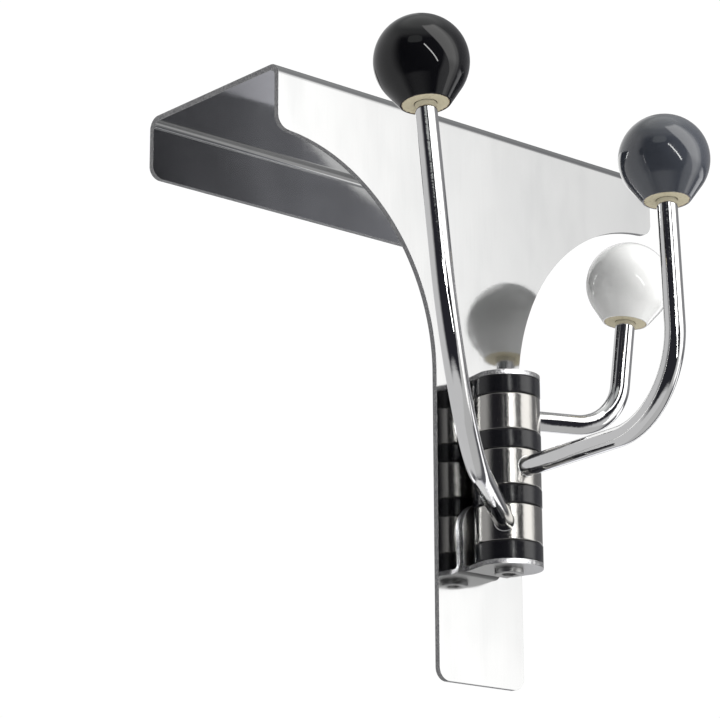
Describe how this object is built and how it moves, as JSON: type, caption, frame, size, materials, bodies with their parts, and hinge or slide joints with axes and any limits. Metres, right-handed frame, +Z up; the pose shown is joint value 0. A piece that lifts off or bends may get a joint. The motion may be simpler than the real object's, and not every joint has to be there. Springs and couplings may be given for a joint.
{
  "type": "over-door swivel hook rack",
  "caption": "Over-the-door hook rack: a bent polished sheet plate hangs on the door's top edge and carries a pivot with swivelling rod arms that end in ball knobs.",
  "frame": {"origin": "middle of the flange's underside, the face that rests on the door's top edge", "axes": "+X along the door's width, +Y from the front panel towards the back lip, +Z up"},
  "size_m": [0.1404, 0.1246, 0.1354],
  "materials": {
    "polished_sheet": "polished",
    "satin_steel": "satin",
    "chrome": "polished",
    "black_plastic": "gloss",
    "lacquer_white": "gloss lacquer",
    "lacquer_grey": "gloss lacquer",
    "lacquer_black": "gloss lacquer"
  },
  "bodies": {
    "plate": {"door_plate": "polished_sheet", "lug_upper": "satin_steel", "lug_lower": "satin_steel", "pivot_sleeve": "satin_steel", "pivot_screw": "satin_steel", "spacer_ring_1": "black_plastic", "spacer_ring_2": "black_plastic", "spacer_ring_3": "black_plastic", "spacer_ring_4": "black_plastic"},
    "swing_white": {"collar_white": "chrome", "arm_white": "chrome", "knob_white": "lacquer_white"},
    "swing_grey": {"collar_grey": "chrome", "arm_grey": "chrome", "knob_grey": "lacquer_grey"},
    "swing_black": {"collar_black": "chrome", "arm_black": "chrome", "knob_black": "lacquer_black"}
  },
  "joints": [
    {"name": "white_swivel", "type": "hinge", "parent": "plate", "child": "swing_white", "pos_m": [0, -0.0333, -0.0735], "axis": [0, 0, 1], "range_deg": [-155, 16]},
    {"name": "grey_swivel", "type": "hinge", "parent": "plate", "child": "swing_grey", "pos_m": [0, -0.0333, -0.08635], "axis": [0, 0, 1], "range_deg": [-79, 92]},
    {"name": "black_swivel", "type": "hinge", "parent": "plate", "child": "swing_black", "pos_m": [0, -0.0333, -0.0992], "axis": [0, 0, 1], "range_deg": [-31, 135]}
  ]
}
